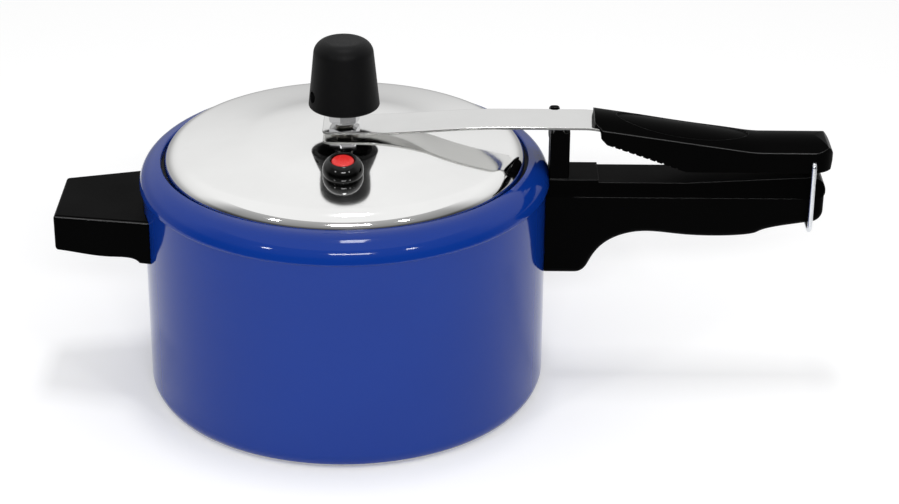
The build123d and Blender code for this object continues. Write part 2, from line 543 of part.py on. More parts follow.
def make_upper_handle():
    """Upper grip with a crowned top, a sunk oval panel and finger ribs below."""
    start = POT_RADIUS + UPPER_START_OUT
    knee = POT_RADIUS + UPPER_KNEE_OUT
    end = POT_RADIUS + UPPER_REACH
    rise = STRAP_THICK + UPPER_OVER_STRAP
    level = strap_level(knee) + rise
    line = FilletPolyline((start - RIB_PITCH, 0, strap_level(start - RIB_PITCH) + rise), (knee, 0, level),
                          (end + RIB_PITCH, 0, level), radius=UPPER_KNEE_ROUND)
    depth = level - HANDLE_LEVEL + 3 * UPPER_FRONT_DEPTH
    crown = ThreePointArc((-UPPER_HALF_WIDTH, -UPPER_CROWN), (0, 0), (UPPER_HALF_WIDTH, -UPPER_CROWN))
    sides = Polyline((UPPER_HALF_WIDTH, -UPPER_CROWN), (UPPER_HALF_WIDTH, -depth),
                     (-UPPER_HALF_WIDTH, -depth), (-UPPER_HALF_WIDTH, -UPPER_CROWN))
    shape = make_face([crown, *sides.edges()])
    shoulders = shape.vertices().group_by(Axis.Y)[-1]
    shape = fillet(shoulders, UPPER_SIDE_ROUND)
    across = Plane(origin=line @ 0, x_dir=(0, 1, 0), z_dir=line % 0)
    crowned = sweep(across * shape, path=line)
    front_under = strap_level(start) + rise - UPPER_FRONT_DEPTH
    skirt = HANDLE_LEVEL + UPPER_SKIRT
    flat = POT_RADIUS + UPPER_UNDER_OUT
    tall = STRAP_TOP + 2 * rise
    fall = (front_under - skirt) / (flat - start)
    set_back = start + UPPER_FRONT_LIP
    corner = set_back + UPPER_FRONT_LIP
    strap_under = strap_level(start)
    turn = UPPER_END_DROP * math.sqrt(0.5)
    end_arc = ThreePointArc((end, level - UPPER_END_DROP),
                            (end - UPPER_END_DROP + turn, level - UPPER_END_DROP + turn),
                            (end - UPPER_END_DROP, level))
    rest = Polyline((end - UPPER_END_DROP, level), (end - UPPER_END_DROP, tall), (start, tall),
                    (start, strap_under + STRAP_THICK), (set_back, strap_under),
                    (set_back, strap_under - UPPER_FRONT_LIP), (corner, front_under - fall * (corner - start)),
                    (flat, skirt), (end - UPPER_END_LEAN, skirt), (end, level - UPPER_END_DROP))
    side = make_face([end_arc, *rest.edges()])
    plan = Pos((start + end) / 2, 0) * Rectangle(end - start, 2 * UPPER_HALF_WIDTH)
    plan = fillet(plan.vertices().group_by(Axis.X)[-1], UPPER_END_ROUND)
    plan = chamfer(plan.vertices().group_by(Axis.X)[0], UPPER_FRONT_CUT)
    handle = crowned & side_plate(side, UPPER_HALF_WIDTH) & extrude(plan, tall)
    panel_middle = POT_RADIUS + PANEL_START_OUT + PANEL_LENGTH / 2
    panel = Pos(panel_middle, 0) * Ellipse(PANEL_LENGTH / 2, PANEL_HALF_WIDTH)
    handle -= extrude(panel, tall) - Pos(0, 0, -PANEL_DEPTH) * crowned
    for n in range(1, int((flat - corner) / RIB_PITCH)):
        x = corner + n * RIB_PITCH
        z = front_under - fall * (x - start)
        handle -= crossbar(x, z, RIB_DEPTH, -UPPER_HALF_WIDTH, UPPER_HALF_WIDTH)
    handle -= side_plate(strap_side(SEATED), STRAP_TAIL_HALF_WIDTH + SEATED)
    mouth_end = start + UPPER_FRONT_CUT + SEATED
    handle -= side_plate(strap_side(SEATED), STRAP_HALF_WIDTH + SEATED) & block(
        start, mouth_end, -POT_RADIUS, POT_RADIUS, 0, tall)
    for out in UPPER_SCREWS:
        bearing = strap_level(POT_RADIUS + out) - SCREW_BEARING
        tip = bearing + SCREW_BEARING + STRAP_THICK + SCREW_BITE
        handle -= screw_room(POT_RADIUS + out, bearing, tip, bearing)
    for side_sign in (-1, 1):
        ends = sorted((side_sign * UPPER_HALF_WIDTH, side_sign * (UPPER_HALF_WIDTH - BAIL_PIN)))
        handle -= crossbar(POT_RADIUS + BAIL_OUT, HANDLE_LEVEL + BAIL_PIVOT, WIRE_RADIUS + PIVOT, *ends)
    return handle


def make_wire_bail():
    """Bent wire with its ends turned in, hanging round the long handle."""
    pivot = HANDLE_LEVEL + BAIL_PIVOT
    pin_bend = WIRE_RADIUS + BAIL_PIN_INSIDE
    leg = max(UPPER_HALF_WIDTH, GRIP_HALF_WIDTH) + RUNNING + pin_bend
    tip = UPPER_HALF_WIDTH - BAIL_PIN + RUNNING
    x = POT_RADIUS + BAIL_OUT
    low = pivot - BAIL_DROP
    path = FilletPolyline((x, -tip, pivot), (x, -leg, pivot), (x, -leg, low), (x, leg, low), (x, leg, pivot),
                          (x, tip, pivot), radius=[pin_bend, BAIL_BEND, BAIL_BEND, pin_bend])
    section = Plane(origin=path @ 0, z_dir=path % 0) * Circle(WIRE_RADIUS)
    return sweep(section, path=path)


def make_helper_handle():
    """Short handle, wider at the pot, with a flat top."""
    end = POT_RADIUS + HELPER_REACH
    root = POT_RADIUS / 2
    widen = (HELPER_ROOT_HALF_WIDTH - HELPER_END_HALF_WIDTH) / HELPER_REACH
    root_half = HELPER_ROOT_HALF_WIDTH + widen * (POT_RADIUS - root)
    plan = make_face(Polyline((root, -root_half), (end, -HELPER_END_HALF_WIDTH), (end, HELPER_END_HALF_WIDTH),
                              (root, root_half), close=True))
    top_root = HANDLE_LEVEL + HELPER_ROOT_TOP
    top_end = HANDLE_LEVEL + HELPER_END_TOP
    under_end = top_end - HELPER_THICK
    under_root = top_root - HELPER_ROOT_THICK
    knee = POT_RADIUS + HELPER_REACH / 3
    under = Spline((end, under_end), (knee, under_end - HELPER_BELLY), (POT_RADIUS, under_root),
                   tangents=[(-1, 0), (-1, -HELPER_FLARE)])
    top = Polyline((POT_RADIUS, under_root), (root, under_root), (root, 2 * top_root - top_end), (end, top_end),
                   (end, under_end))
    side = make_face([under, *top.edges()])
    handle = extrude(plan, POT_HEIGHT) & side_plate(side, root_half)
    end_edges = handle.edges().group_by(Axis.X)[-1]
    long_edges = [e for e in handle.edges() if e.bounding_box().size.X > HELPER_REACH]
    top_sides = [e for e in long_edges if e.center().Z > top_end]
    handle = fillet([*end_edges, *top_sides], HELPER_ROUND)
    handle -= rod(POT_RADIUS + SEATED, 0, POT_HEIGHT)
    handle -= bracket_room(*HELPER_PLATE)
    handle -= screw_room(POT_RADIUS + HELPER_SCREW, HELPER_BEARING, HELPER_SCREW_TIP, HELPER_ROOT_THICK)
    return Rot(0, 0, 180) * handle


def make_weight_cap():
    """Hollow bell that covers the vent pipe."""
    rim = WEIGHT_RIM
    top = rim + WEIGHT_HEIGHT
    bell = turned((0, rim), (WEIGHT_RADIUS, rim), (WEIGHT_TOP_RADIUS, top), (0, top))
    bell = fillet(ring_edge(bell, WEIGHT_TOP_RADIUS, top), WEIGHT_TOP_ROUND)
    bell = fillet(ring_edge(bell, WEIGHT_RADIUS, rim), WEIGHT_RIM_ROUND)
    skirt = rod(WEIGHT_RADIUS - SKIRT_WALL, rim, rim + SKIRT_DEPTH)
    socket = rod(CORE_RADIUS + SEATED, rim + SKIRT_DEPTH, rim + SKIRT_DEPTH + CORE_HEIGHT)
    vents = Cylinder(VENT_RADIUS, 3 * WEIGHT_RADIUS, rotation=(0, 90, 0))
    return bell - skirt - socket - Pos(0, 0, rim + VENT_LEVEL) * Rot(0, 0, VENT_TURN) * vents


def make_weight_core():
    """Metal slug pressed into the bell."""
    low = WEIGHT_RIM + SKIRT_DEPTH
    socket = rod(NEEDLE_RADIUS + SEATED, low, low + NEEDLE_SOCKET)
    return rod(CORE_RADIUS, low, low + CORE_HEIGHT) - socket


def make_weight_needle():
    """Pointed pin that closes the vent pipe."""
    top = WEIGHT_RIM + SKIRT_DEPTH + NEEDLE_SOCKET
    tip = PIPE_TOP + RUNNING - PIPE_BORE
    return turned((0, tip), (NEEDLE_RADIUS, tip + NEEDLE_RADIUS), (NEEDLE_RADIUS, top), (0, top))


def at_safety_valve(solid):
    """Solid moved from its own axis to the safety valve's seat."""
    return Pos(SAFETY_SIDE, -SAFETY_OUT, SEAT_LEVEL) * solid


def make_safety_plug():
    """Rubber plug with a bulging head, held by its lower rim."""
    lower_top = -LID_SHEET - SEATED
    lower = lower_top - PLUG_LOWER_HEIGHT
    button_floor = PLUG_HEIGHT - BUTTON_HEIGHT - BUTTON_CROWN
    bore = BUTTON_STEM + RUNNING
    recess = BUTTON_RADIUS + RUNNING
    rim = recess + PLUG_RIM
    bulge = ThreePointArc((PLUG_FOOT_RADIUS, 0), (PLUG_RADIUS, PLUG_WAIST), (rim, PLUG_HEIGHT))
    rest = Polyline((rim, PLUG_HEIGHT), (recess, PLUG_HEIGHT), (recess, button_floor),
                    (bore, button_floor), (bore, lower), (PLUG_LOWER_TIP, lower), (PLUG_LOWER_RADIUS, lower_top),
                    (PLUG_NECK_RADIUS, lower_top), (PLUG_NECK_RADIUS, 0), (PLUG_FOOT_RADIUS, 0))
    plug = revolve(Plane.XZ * make_face([bulge, *rest.edges()]), Axis.Z)
    return at_safety_valve(plug)


def clip_top():
    """Height of the stop clip below the valve's seat."""
    return -LID_SHEET - SEATED - PLUG_LOWER_HEIGHT - BUTTON_TRAVEL - RUNNING


def make_safety_button():
    """Red pin whose head shows in the plug and whose stem passes through it."""
    floor = PLUG_HEIGHT - BUTTON_HEIGHT - BUTTON_CROWN + RUNNING
    side = floor + BUTTON_HEIGHT - RUNNING
    tip = clip_top() - CLIP_THICK - STEM_TIP
    crown = ThreePointArc((-BUTTON_RADIUS, side), (0, side + BUTTON_CROWN), (BUTTON_RADIUS, side)).trim(0.5, 1)
    rest = Polyline((BUTTON_RADIUS, side), (BUTTON_RADIUS, floor), (BUTTON_STEM, floor), (BUTTON_STEM, tip),
                    (0, tip), (0, side + BUTTON_CROWN))
    button = revolve(Plane.XZ * make_face([crown, *rest.edges()]), Axis.Z)
    return at_safety_valve(button)


def make_safety_clip():
    """Ring on the red pin's stem that stops it under the plug."""
    return at_safety_valve(tube(CLIP_RADIUS, BUTTON_STEM, clip_top() - CLIP_THICK, clip_top()))


def make_bracket_with_holes(plate, rivets, screws, bearing, tip):
    """Bracket drilled for its rivets and screws, on the +X side."""
    bracket = make_bracket(*plate)
    for turn, z in rivets:
        bracket -= rivet_hole(turn, z)
    for out in screws:
        bracket -= Pos(POT_RADIUS + out, 0, 0) * rod(SCREW_RADIUS + SEATED, bearing, tip)
    return bracket


def upper_screw(out):
    """Screw that holds the strap's tail in the upper handle."""
    bearing = strap_level(POT_RADIUS + out) - SCREW_BEARING
    return make_screw(POT_RADIUS + out, bearing, bearing + SCREW_BEARING + STRAP_THICK + SCREW_BITE)


def make_parts():
    """All sub-parts by name."""
    half_turn = Rot(0, 0, 180)
    main_bracket = make_bracket_with_holes(MAIN_PLATE, MAIN_RIVETS, MAIN_SCREWS, MAIN_BEARING, MAIN_SCREW_TIP)
    helper_bracket = make_bracket_with_holes(HELPER_PLATE, HELPER_RIVETS, [HELPER_SCREW], HELPER_BEARING,
                                             HELPER_SCREW_TIP)
    main_screws = [make_screw(POT_RADIUS + out, MAIN_BEARING, MAIN_SCREW_TIP) for out in MAIN_SCREWS]
    helper_screw = make_screw(POT_RADIUS + HELPER_SCREW, HELPER_BEARING, HELPER_SCREW_TIP)
    return {
        "pot_shell": make_pot_shell(),
        "main_bracket": main_bracket,
        "main_bracket_rivets": Compound([make_rivet(*place) for place in MAIN_RIVETS]),
        "main_handle": make_main_handle(),
        "main_handle_screws": Compound(main_screws),
        "helper_bracket": half_turn * helper_bracket,
        "helper_bracket_rivets": Compound([half_turn * make_rivet(*place) for place in HELPER_RIVETS]),
        "helper_handle": make_helper_handle(),
        "helper_handle_screw": half_turn * helper_screw,
        "lid_shell": make_lid_shell(),
        "lid_gasket": make_lid_gasket(),
        "vent_pipe": make_vent_pipe(),
        "vent_pipe_seal": make_vent_pipe_seal(),
        "vent_pipe_nut": make_vent_pipe_nut(),
        "strap_nut": make_strap_nut(),
        "safety_plug": make_safety_plug(),
        "safety_button": make_safety_button(),
        "safety_clip": make_safety_clip(),
        "lever_strap": make_lever_strap(),
        "upper_handle": make_upper_handle(),
        "upper_handle_screws": Compound([upper_screw(out) for out in UPPER_SCREWS]),
        "wire_bail": make_wire_bail(),
        "weight_cap": make_weight_cap(),
        "weight_core": make_weight_core(),
        "weight_needle": make_weight_needle(),
    }


os.makedirs("parts", exist_ok=True)
for name, solid in make_parts().items():
    export_step(solid, f"parts/{name}.step")
print("fulcrum", FULCRUM_X, FULCRUM_Z)
print("strap seat", (SEAT_BOTTOM + SEAT_TOP) / 2)
print("bail pivot", POT_RADIUS + BAIL_OUT, HANDLE_LEVEL + BAIL_PIVOT)
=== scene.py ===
"""Looks of a stovetop pressure cooker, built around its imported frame."""
import json
import logging
import math
from dataclasses import dataclass
from enum import Enum

import bpy
from mathutils import Matrix, Vector


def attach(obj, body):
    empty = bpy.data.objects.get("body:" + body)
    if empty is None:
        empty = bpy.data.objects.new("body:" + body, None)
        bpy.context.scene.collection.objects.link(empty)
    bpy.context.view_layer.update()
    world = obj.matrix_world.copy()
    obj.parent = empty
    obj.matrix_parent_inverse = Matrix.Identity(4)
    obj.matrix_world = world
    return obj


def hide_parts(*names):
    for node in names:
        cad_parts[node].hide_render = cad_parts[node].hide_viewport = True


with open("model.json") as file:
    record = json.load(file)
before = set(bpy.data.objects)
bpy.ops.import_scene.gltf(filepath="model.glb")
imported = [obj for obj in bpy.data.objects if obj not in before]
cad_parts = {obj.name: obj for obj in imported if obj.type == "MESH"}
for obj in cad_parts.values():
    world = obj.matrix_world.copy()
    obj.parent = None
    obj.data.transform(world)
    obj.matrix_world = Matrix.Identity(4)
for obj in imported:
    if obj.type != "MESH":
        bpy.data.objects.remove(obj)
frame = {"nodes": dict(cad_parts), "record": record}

Point = tuple[float, float, float]
Rings = list[list[Point]]
Faces = list[tuple[int, ...]]
Profile = tuple[tuple[float, float], ...]
Tones = tuple[tuple[float, str], ...]
Tree = bpy.types.NodeTree
Node = bpy.types.Node
Socket = bpy.types.NodeSocket
Inputs = dict[int | str, object]

# Sizes are in millimetres and angles in degrees, unless a name or a docstring says otherwise.
MM = 0.001
WHITE = "#FFFFFF"
FLAT: Point = (1.0, 1.0, 0.0)
RING_POINTS = 96
DRILL_SIDES = 64
DRILL_LENGTH = 50.0
# The mix node's sockets go by number, because those for numbers and for colours share their names.
NUMBER_A, NUMBER_B = 2, 3
COLOUR_A, COLOUR_B = 6, 7
NUMBER_OUT, COLOUR_OUT = 0, 2
# Place of the safety valve on the lid, and its lean towards the front, about square to the dome.
VALVE: Point = (1.4, -51.7, 146.75)
VALVE_TILT = 9.0

log = logging.getLogger("pressure_cooker")


class Grain(Enum):
    """Ways in which a surface's fine marks run."""

    EVEN = "even"
    ROUND = "round the vertical axis"
    LONG = "along the handles"
    UPRIGHT = "up and down"


def linear(hex_code: str) -> tuple[float, float, float, float]:
    """Turn an sRGB hex colour into linear values, by the sRGB standard's own curve.

    Args:
        hex_code: six hex digits after a hash sign.

    Returns:
        Linear red, green, blue and an alpha of 1.
    """
    parts = [int(hex_code[i:i + 2], 16) / 255 for i in (1, 3, 5)]
    values = [p / 12.92 if p <= 0.04045 else ((p + 0.055) / 1.055) ** 2.4 for p in parts]
    return values[0], values[1], values[2], 1.0


def add_node(tree: Tree, kind: str, inputs: Inputs | None = None, **settings: object) -> Node:
    """Add a node with its settings, values and links.

    Args:
        tree: node tree that gets the node.
        kind: type name of the node.
        inputs: socket names or numbers, each with a value or an output socket to link.
        settings: attributes of the node.

    Returns:
        The new node.
    """
    node = tree.nodes.new(kind)
    for name, value in settings.items():
        setattr(node, name, value)
    for key, value in (inputs or {}).items():
        if isinstance(value, Socket):
            tree.links.new(value, node.inputs[key])
        else:
            node.inputs[key].default_value = value
    return node


def empty_tree(owner: bpy.types.Material | bpy.types.World) -> Tree:
    """Give a material or a world an empty node tree.

    Args:
        owner: the material or world.

    Returns:
        Its node tree.
    """
    owner.use_nodes = True
    owner.node_tree.nodes.clear()
    return owner.node_tree


def measure_place(tree: Tree) -> tuple[Socket, Socket, Socket]:
    """Measure a point of a surface from the vertical axis through the frame's origin.

    Args:
        tree: node tree that gets the nodes.

    Returns:
        Output sockets of the point laid flat, its radius and its height, in metres.
    """
    place = add_node(tree, "ShaderNodeTexCoord").outputs["Object"]
    flat = add_node(tree, "ShaderNodeVectorMath", {0: place, 1: FLAT}, operation="MULTIPLY")
    radius = add_node(tree, "ShaderNodeVectorMath", {0: flat.outputs["Vector"]}, operation="LENGTH")
    height = add_node(tree, "ShaderNodeSeparateXYZ", {0: place})
    return flat.outputs["Vector"], radius.outputs["Value"], height.outputs["Z"]


def circle_turns(count: int) -> list[float]:
    """List the angles of evenly spaced points on a circle, in radians."""
    return [2 * math.pi * number / count for number in range(count)]


def band_faces(rows: int, count: int, endless: bool = False) -> Faces:
    """Join rings of points by bands of four-sided faces.

    Args:
        rows: number of rings.
        count: points in each ring.
        endless: whether the last ring is joined to the first.

    Returns:
        Point numbers of each face.
    """
    faces = []
    for row in range(rows if endless else rows - 1):
        start = row * count
        above = (row + 1) % rows * count
        for here in range(count):
            following = (here + 1) % count
            faces.append((start + here, start + following, above + following, above + here))
    return faces


def add_object(name: str, data: bpy.types.ID) -> bpy.types.Object:
    """Put a mesh, lamp or camera into the scene.

    Args:
        name: name of the object.
        data: what it shows.

    Returns:
        The new object.
    """
    thing = bpy.data.objects.new(name, data)
    bpy.context.scene.collection.objects.link(thing)
    return thing


def add_mesh(name: str, points: list[Point], faces: Faces, material: bpy.types.Material) -> bpy.types.Object:
    """Make a mesh object.

    Args:
        name: name of the object.
        points: its points, in metres.
        faces: point numbers of each face.
        material: its material.

    Returns:
        The new object.
    """
    mesh = bpy.data.meshes.new(name)
    mesh.from_pydata(points, [], faces)
    mesh.materials.append(material)
    return add_object(name, mesh)


@dataclass(frozen=True)
class Finish:
    """A material: what it is, how its surface was made and the marks that this leaves.

    Marks that are too fine to show in the render are drawn as coarse as they need to show.
    """

    name: str
    colour: str
    shade: str
    roughness: tuple[float, float]
    grain: Grain
    grain_mm: float
    grain_depth_mm: float
    grain_detail: float = 2.0
    grain_stretch: float = 30.0
    patch_mm: float = 35.0
    patch_detail: float = 3.0
    patch_roughness: float = 0.55
    # Strength of grain and patches together that gives the least and the most roughness.
    marks_range: tuple[float, float] = (0.1, 0.45)
    metallic: float = 0.0
    ior: float = 1.5
    specular: float = 0.5
    edge_mm: float = 0.0
    edge_samples: int = 6
    # Specular level of the painted highlight on edges that lean up towards the lamps.
    edge_highlight_specular: float = 0.0
    # Upward share of the direction that edges with the painted highlight face, and how far from it the
    # painted highlight fades and ends.
    highlight_rise: float = 0.62
    highlight_band: tuple[float, float] = (0.08, 0.14)

    def coordinates(self, tree: Tree) -> Socket:
        """Make the texture coordinates that the grain follows.

        Args:
            tree: node tree of the material.

        Returns:
            Output socket of the coordinates, in metres.
        """
        if self.grain is Grain.ROUND:
            _, radius, height = measure_place(tree)
            return add_node(tree, "ShaderNodeCombineXYZ", {"X": radius, "Y": height}).outputs["Vector"]
        place = add_node(tree, "ShaderNodeTexCoord").outputs["Object"]
        if self.grain is Grain.EVEN:
            return place
        squeeze = 1.0 / self.grain_stretch
        scale = (squeeze, 1.0, 1.0) if self.grain is Grain.LONG else (1.0, 1.0, squeeze)
        drawn = add_node(tree, "ShaderNodeVectorMath", {0: place, 1: scale}, operation="MULTIPLY")
        return drawn.outputs["Vector"]

    def build(self) -> bpy.types.Material:
        """Make the material's nodes.

        Returns:
            The material.
        """
        material = bpy.data.materials.new(self.name)
        tree = empty_tree(material)
        place = add_node(tree, "ShaderNodeTexCoord").outputs["Object"]
        patches = add_node(tree, "ShaderNodeTexNoise", {
            "Vector": place, "Scale": 1 / (self.patch_mm * MM), "Detail": self.patch_detail,
            "Roughness": self.patch_roughness}).outputs["Fac"]
        marks = add_node(tree, "ShaderNodeTexNoise", {
            "Vector": self.coordinates(tree), "Scale": 1 / (self.grain_mm * MM),
            "Detail": self.grain_detail}).outputs["Fac"]
        tone = add_node(tree, "ShaderNodeMix", {
            "Factor": patches, COLOUR_A: linear(self.colour), COLOUR_B: linear(self.shade)},
            data_type="RGBA")
        both = add_node(tree, "ShaderNodeMath", {0: marks, 1: patches}, operation="MULTIPLY")
        rough = add_node(tree, "ShaderNodeMapRange", {
            "Value": both.outputs["Value"], "From Min": self.marks_range[0], "From Max": self.marks_range[1],
            "To Min": self.roughness[0], "To Max": self.roughness[1]})
        bump = add_node(tree, "ShaderNodeBump", {
            "Height": marks, "Strength": 1.0, "Distance": self.grain_depth_mm * MM})
        shader = add_node(tree, "ShaderNodeBsdfPrincipled", {
            "Base Color": tone.outputs[COLOUR_OUT], "Roughness": rough.outputs["Result"],
            "Normal": bump.outputs["Normal"], "Metallic": self.metallic, "IOR": self.ior,
            "Specular IOR Level": self.specular})
        if self.edge_mm:
            self.round_edges(tree, bump, shader)
        self.vary(tree, shader)
        add_node(tree, "ShaderNodeOutputMaterial", {"Surface": shader.outputs["BSDF"]})
        return material

    def round_edges(self, tree: Tree, bump: Node, shader: Node) -> None:
        """Round the edges to the eye, and paint a highlight, a raised specular level, on those that lean up
        towards the lamps, if any.

        Args:
            tree: node tree of the material.
            bump: node that adds the grain to the rounded surface.
            shader: the material's shader.
        """
        edge = add_node(tree, "ShaderNodeBevel", {"Radius": self.edge_mm * MM}, samples=self.edge_samples)
        tree.links.new(edge.outputs["Normal"], bump.inputs["Normal"])
        if not self.edge_highlight_specular:
            return
        # Painted highlight: the specular level rises where the rounded edge's direction leans up towards the
        # lamps.
        rise = add_node(tree, "ShaderNodeSeparateXYZ", {0: edge.outputs["Normal"]}).outputs["Z"]
        off = add_node(tree, "ShaderNodeMath", {0: rise, 1: self.highlight_rise}, operation="SUBTRACT")
        far = add_node(tree, "ShaderNodeMath", {0: off.outputs["Value"]}, operation="ABSOLUTE")
        painted_highlight = add_node(tree, "ShaderNodeMapRange", {
            "Value": far.outputs["Value"], "From Min": self.highlight_band[0], "From Max": self.highlight_band[1],
            "To Min": self.edge_highlight_specular, "To Max": self.specular})
        tree.links.new(painted_highlight.outputs["Result"], shader.inputs["Specular IOR Level"])

    def vary(self, tree: Tree, shader: Node) -> None:
        """Leave the surface the same all over."""

    @staticmethod
    def mix_over(tree: Tree, shader: Node, share: Socket, colour: str, roughness: float) -> None:
        """Give part of the surface another colour and gloss.

        Args:
            tree: node tree of the material.
            shader: the material's shader.
            share: output socket that is 1 on that part and 0 elsewhere.
            colour: colour of that part.
            roughness: roughness of that part.
        """
        base = shader.inputs["Base Color"].links[0].from_socket
        gloss = shader.inputs["Roughness"].links[0].from_socket
        tone = add_node(tree, "ShaderNodeMix", {"Factor": share, COLOUR_A: base, COLOUR_B: linear(colour)},
                        data_type="RGBA")
        rough = add_node(tree, "ShaderNodeMix", {"Factor": share, NUMBER_A: gloss, NUMBER_B: roughness})
        tree.links.new(tone.outputs[COLOUR_OUT], shader.inputs["Base Color"])
        tree.links.new(rough.outputs[NUMBER_OUT], shader.inputs["Roughness"])


@dataclass(frozen=True)
class OutsideEnamel(Finish):
    """Enamel that covers the outside of a pot and leaves its inside bare."""

    inside_colour: str = "#D2D2D0"
    inside_roughness: float = 0.32
    inside_radius_mm: float = 108.0
    inside_top_mm: float = 130.5
    inside_floor_mm: float = 1.5

    def vary(self, tree: Tree, shader: Node) -> None:
        """Bare the pot's inside, which is found from the place of a point.

        Args:
            tree: node tree of the material.
            shader: the enamel's shader.
        """
        _, radius, height = measure_place(tree)
        limits = ((radius, self.inside_radius_mm, "LESS_THAN"), (height, self.inside_top_mm, "LESS_THAN"),
                  (height, self.inside_floor_mm, "GREATER_THAN"))
        within, below, above = (
            add_node(tree, "ShaderNodeMath", {0: size, 1: limit * MM}, operation=test).outputs["Value"]
            for size, limit, test in limits)
        low = add_node(tree, "ShaderNodeMath", {0: within, 1: below}, operation="MULTIPLY").outputs["Value"]
        inside = add_node(tree, "ShaderNodeMath", {0: low, 1: above}, operation="MULTIPLY").outputs["Value"]
        self.mix_over(tree, shader, inside, self.inside_colour, self.inside_roughness)
        tree.links.new(inside, shader.inputs["Metallic"])


@dataclass(frozen=True)
class ShearedSheet(Finish):
    """Polished sheet whose sheared edges stay dull."""

    sheared_colour: str = "#8A8A88"
    sheared_roughness: float = 0.45
    # Upward or downward share of a surface's direction, below which it counts as an edge.
    face_rise: float = 0.6

    def vary(self, tree: Tree, shader: Node) -> None:
        """Dull the edges, which are found from the way that a surface points.

        Args:
            tree: node tree of the material.
            shader: the sheet's shader.
        """
        normal = add_node(tree, "ShaderNodeNewGeometry").outputs["Normal"]
        rise = add_node(tree, "ShaderNodeSeparateXYZ", {0: normal}).outputs["Z"]
        level = add_node(tree, "ShaderNodeMath", {0: rise}, operation="ABSOLUTE").outputs["Value"]
        sheared = add_node(tree, "ShaderNodeMath", {0: level, 1: self.face_rise}, operation="LESS_THAN")
        self.mix_over(tree, shader, sheared.outputs["Value"], self.sheared_colour, self.sheared_roughness)


# Stoved enamel on drawn aluminium: deep blue under a clear gloss with a faint orange peel, and bare inside.
BLUE_ENAMEL = OutsideEnamel(
    "stoved_blue_enamel_on_drawn_aluminium", "#0A3389", "#092F83", roughness=(0.06, 0.11), grain=Grain.EVEN,
    grain_mm=2.2, grain_depth_mm=0.002, specular=0.26, patch_mm=60.0)
# Buffed aluminium: a bright mirror that is softened by fine rings from the buffing wheel.
BUFFED_ALUMINIUM = Finish(
    "buffed_mirror_aluminium", "#F3F3F2", "#EBEBEA", roughness=(0.05, 0.10), grain=Grain.ROUND,
    grain_mm=0.9, grain_depth_mm=0.0005, metallic=1.0, patch_mm=30.0)
# Moulded phenolic: deep black with the mould's fine satin texture, and a painted highlight, a raised
# specular level, on edges that lean up towards the lamps.
MOULDED_PHENOLIC = Finish(
    "moulded_black_phenolic", "#040404", "#030303", roughness=(0.30, 0.46), grain=Grain.EVEN,
    grain_mm=0.7, grain_depth_mm=0.010, specular=0.012, edge_mm=0.7, edge_highlight_specular=0.9)
# Matt moulded phenolic, on the bell: charcoal with a soft, wide shine and no mirror images.
MATT_PHENOLIC = Finish(
    "matt_moulded_phenolic", "#060607", "#040405", roughness=(0.42, 0.58), grain=Grain.EVEN,
    grain_mm=0.8, grain_depth_mm=0.015, specular=0.13, edge_mm=0.5)
# Polished steel sheet: a mirror with fine marks along its length, and dull grey edges where it was sheared.
POLISHED_STEEL = ShearedSheet(
    "polished_steel_sheet", "#E4E4E3", "#DADAD9", roughness=(0.06, 0.12), grain=Grain.LONG,
    grain_mm=0.5, grain_depth_mm=0.0005, metallic=1.0, patch_mm=25.0)
# Polished nickel plate, on the hexagon nut: a clear, slightly cool mirror with bright corners.
POLISHED_NICKEL = Finish(
    "polished_nickel_plate", "#E6E6E8", "#DCDCDE", roughness=(0.04, 0.08), grain=Grain.ROUND,
    grain_mm=0.6, grain_depth_mm=0.0005, metallic=1.0, edge_mm=0.3)
# Nickel-plated turned brass: warm grey, with the rings of the lathe blurring what it mirrors.
PLATED_BRASS = Finish(
    "nickel_plated_turned_brass", "#CFCBC4", "#C2BEB6", roughness=(0.15, 0.26), grain=Grain.ROUND,
    grain_mm=0.4, grain_depth_mm=0.002, metallic=1.0)
# Plain turned steel, on the slug: mid grey and dull, with rings from the lathe.
TURNED_STEEL = Finish(
    "turned_plain_steel", "#9C9B99", "#8C8B89", roughness=(0.3, 0.45), grain=Grain.ROUND,
    grain_mm=0.5, grain_depth_mm=0.004, metallic=1.0)
# Bright zinc on drawn wire: pale, bluish and streaked along the wire.
ZINC_WIRE = Finish(
    "bright_zinc_on_drawn_wire", "#E6E8EB", "#D3D6DA", roughness=(0.20, 0.32), grain=Grain.UPRIGHT,
    grain_mm=0.3, grain_depth_mm=0.002, metallic=1.0, patch_mm=6.0)
# Rolled steel, pressed into brackets: grey and dull, with the mill's streaks.
ROLLED_STEEL = Finish(
    "pressed_rolled_steel", "#8F8E8C", "#7F7E7C", roughness=(0.35, 0.5), grain=Grain.LONG,
    grain_mm=0.8, grain_depth_mm=0.004, metallic=1.0)
# Zinc-plated screws: soft grey with a cool tint.
ZINC_SCREW = Finish(
    "zinc_plated_screw_steel", "#A8A9AA", "#97989A", roughness=(0.25, 0.4), grain=Grain.ROUND,
    grain_mm=0.4, grain_depth_mm=0.003, metallic=1.0)
# Cold-headed aluminium rivets: pale grey and evenly dull.
RIVET_ALUMINIUM = Finish(
    "cold_headed_aluminium", "#C9C9C8", "#B9B9B8", roughness=(0.25, 0.4), grain=Grain.EVEN,
    grain_mm=0.6, grain_depth_mm=0.003, metallic=1.0)
# Moulded nitrile rubber: charcoal and dull.
GASKET_RUBBER = Finish(
    "moulded_nitrile_rubber", "#1A1A1A", "#141414", roughness=(0.55, 0.7), grain=Grain.EVEN,
    grain_mm=0.8, grain_depth_mm=0.01, specular=0.3)
# Rubber from a polished mould, on the safety valve: black with small sharp highlights.
GLOSS_RUBBER = Finish(
    "glossy_moulded_rubber", "#030303", "#020202", roughness=(0.06, 0.12), grain=Grain.EVEN,
    grain_mm=1.5, grain_depth_mm=0.002, specular=0.3)
# Moulded red nylon, on the pressure indicator: a warm red with a soft shine.
RED_NYLON = Finish(
    "moulded_red_nylon", "#E0312E", "#D62A28", roughness=(0.2, 0.32), grain=Grain.EVEN,
    grain_mm=0.8, grain_depth_mm=0.004, specular=0.4)

